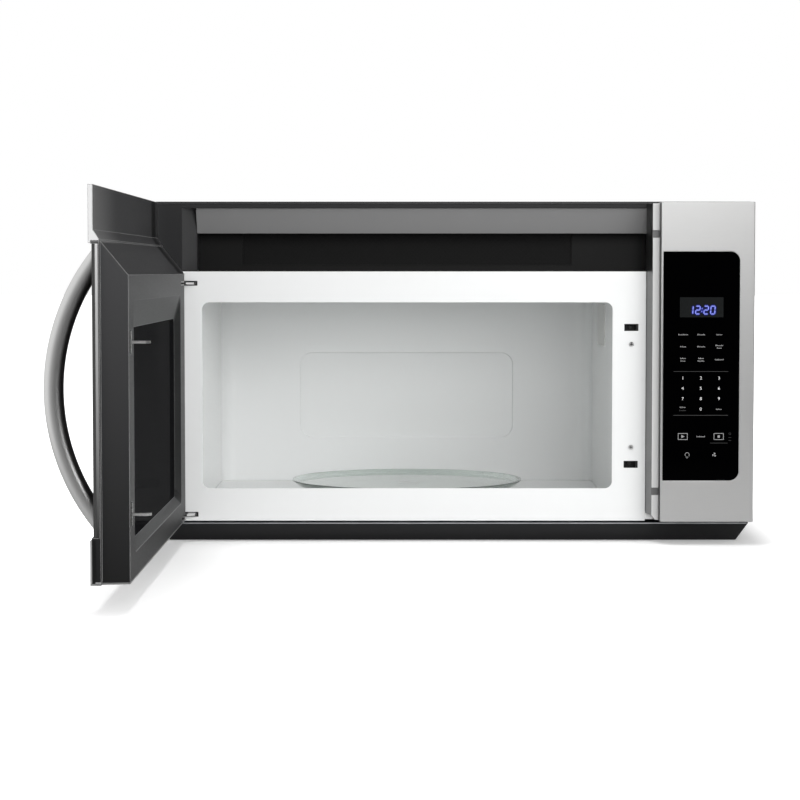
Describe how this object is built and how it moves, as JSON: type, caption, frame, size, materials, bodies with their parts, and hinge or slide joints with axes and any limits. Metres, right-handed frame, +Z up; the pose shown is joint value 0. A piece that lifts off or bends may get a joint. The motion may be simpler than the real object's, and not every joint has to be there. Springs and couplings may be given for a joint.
{
  "type": "over-the-range microwave oven",
  "caption": "Over-the-range microwave oven with its door open square, bowed handle, glass turntable, touch panel, top vent, grease filters, blower and magnetron bay.",
  "frame": {"origin": "middle of the underside of the base, which is the bottom of the oven", "axes": "+X to the right as seen from the front, +Y from the door towards the wall, +Z up"},
  "size_m": [0.8126, 1.0176, 0.4357],
  "materials": {
    "base_paint": "satin dark paint",
    "black_glass": "polished, printed black behind",
    "carrier_steel": "bright rolled steel",
    "case_paint": "satin dark paint",
    "charcoal": "charcoal mesh",
    "circuit_board": "lacquered board",
    "core_steel": "varnished core",
    "dark_plastic": "fine satin grain",
    "deflector_paint": "grey paint",
    "filter_aluminium": "expanded mesh",
    "galvanised": "galvanised sheet",
    "grey_plastic": "satin",
    "grommet_rubber": "moulded",
    "hook_steel": "plated",
    "lens_glass": "frosted",
    "mica": "mica sheet",
    "motor_steel": "plated steel",
    "pane_glass": "polished dark glass",
    "roller_plastic": "heat-proof plastic",
    "screen_steel": "black perforated sheet",
    "screw_steel": "plated",
    "stainless": "brushed along its length",
    "tray_glass": "moulded clear glass",
    "trim_paint": "light silver paint",
    "vent_plastic": "satin black",
    "white_enamel": "glossy baked enamel",
    "white_plastic": "satin"
  },
  "bodies": {
    "cabinet": {"base_pan": "base_paint", "chassis_floor": "galvanised", "left_side_panel": "case_paint", "right_side_panel": "case_paint", "rear_plate": "galvanised", "case_top": "case_paint", "cord_grommet": "grommet_rubber", "duct_floor": "galvanised", "front_plate": "white_enamel", "cavity_floor": "white_enamel", "cavity_ceiling": "white_enamel", "cavity_walls": "white_enamel", "waveguide_cover": "mica", "waveguide": "galvanised", "magnetron": "motor_steel", "transformer": "core_steel", "capacitor": "motor_steel", "cavity_lamp": "galvanised", "lamp_lens": "lens_glass", "cooktop_lamp": "white_plastic", "vent_frame": "vent_plastic", "vent_deflector": "deflector_paint", "charcoal_filter": "charcoal", "blower_housing": "galvanised", "blower_motor": "motor_steel", "fan_shroud": "galvanised", "fan_motor": "motor_steel", "control_bezel": "stainless", "touch_glass": "black_glass", "panel_housing": "dark_plastic", "control_board": "circuit_board", "panel_side_trim": "trim_paint", "hinge_brackets": "hook_steel", "latch_board": "dark_plastic", "latch_board_screws": "screw_steel", "interlock_switches": "dark_plastic", "turntable_motor": "motor_steel"},
    "door": {"door_body": "dark_plastic", "door_top_trim": "stainless", "door_bottom_trim": "stainless", "door_glass": "black_glass", "glass_carrier": "carrier_steel", "door_screen": "screen_steel", "inner_pane": "pane_glass", "handle": "stainless", "handle_screws": "screw_steel", "latch_pin": "screw_steel"},
    "latch": {"door_latch": "hook_steel"},
    "turntable": {"glass_tray": "tray_glass", "drive_coupler": "roller_plastic"},
    "roller_ring": {"roller_ring": "roller_plastic"},
    "roller_1": {"roller_1": "roller_plastic"},
    "roller_2": {"roller_2": "roller_plastic"},
    "roller_3": {"roller_3": "roller_plastic"},
    "blower": {"blower_rotor": "motor_steel"},
    "cooling_fan": {"cooling_fan": "white_plastic"},
    "left_filter": {"left_grease_filter": "filter_aluminium"},
    "right_filter": {"right_grease_filter": "filter_aluminium"},
    "upper_plunger": {"upper_plunger": "grey_plastic"},
    "lower_plunger": {"lower_plunger": "grey_plastic"}
  },
  "joints": [
    {"name": "door_hinge", "type": "hinge", "parent": "cabinet", "child": "door", "pos_m": [-0.3656, -0.189, 0.2], "axis": [0, 0, 1], "range_deg": [-15, 90]},
    {"name": "latch_pivot", "type": "hinge", "parent": "door", "child": "latch", "pos_m": [-0.3596, -0.7833, 0.192], "axis": [0, 0, 1], "range_deg": [0, 5], "stiffness_Nm_per_rad": 0.4},
    {"name": "turntable_spin", "type": "hinge", "parent": "cabinet", "child": "turntable", "pos_m": [-0.0587, 0.017, 0.05], "axis": [0, 0, 1], "continuous": true},
    {"name": "roller_ring_spin", "type": "hinge", "parent": "cabinet", "child": "roller_ring", "pos_m": [-0.0587, 0.017, 0.0515], "axis": [0, 0, 1], "continuous": true},
    {"name": "roller_1_spin", "type": "hinge", "parent": "roller_ring", "child": "roller_1", "pos_m": [0.0493, 0.017, 0.0515], "axis": [1, 0, 0], "continuous": true},
    {"name": "roller_2_spin", "type": "hinge", "parent": "roller_ring", "child": "roller_2", "pos_m": [-0.1127, 0.11053, 0.0515], "axis": [-0.5, 0.866, 0], "continuous": true},
    {"name": "roller_3_spin", "type": "hinge", "parent": "roller_ring", "child": "roller_3", "pos_m": [-0.1127, -0.07653, 0.0515], "axis": [-0.5, -0.866, 0], "continuous": true},
    {"name": "blower_spin", "type": "hinge", "parent": "cabinet", "child": "blower", "pos_m": [-0.0587, 0.096, 0.3865], "axis": [1, 0, 0], "continuous": true},
    {"name": "cooling_fan_spin", "type": "hinge", "parent": "cabinet", "child": "cooling_fan", "pos_m": [0.29315, 0.132, 0.262], "axis": [0, -1, 0], "continuous": true},
    {"name": "left_filter_slide", "type": "slide", "parent": "cabinet", "child": "left_filter", "axis": [0, 1, 0], "range_m": [0, 0.012]},
    {"name": "right_filter_slide", "type": "slide", "parent": "cabinet", "child": "right_filter", "axis": [0, 1, 0], "range_m": [0, 0.012]},
    {"name": "upper_plunger_slide", "type": "slide", "parent": "cabinet", "child": "upper_plunger", "axis": [0, 1, 0], "range_m": [0, 0.002], "stiffness_N_per_m": 200},
    {"name": "lower_plunger_slide", "type": "slide", "parent": "cabinet", "child": "lower_plunger", "axis": [0, 1, 0], "range_m": [0, 0.002], "stiffness_N_per_m": 200}
  ],
  "couplings": [
    {"joint": "roller_ring_spin", "follows": "turntable_spin", "ratio": 0.5},
    {"joint": "roller_1_spin", "follows": "turntable_spin", "ratio": -11.489},
    {"joint": "roller_2_spin", "follows": "turntable_spin", "ratio": -11.489},
    {"joint": "roller_3_spin", "follows": "turntable_spin", "ratio": -11.489}
  ]
}
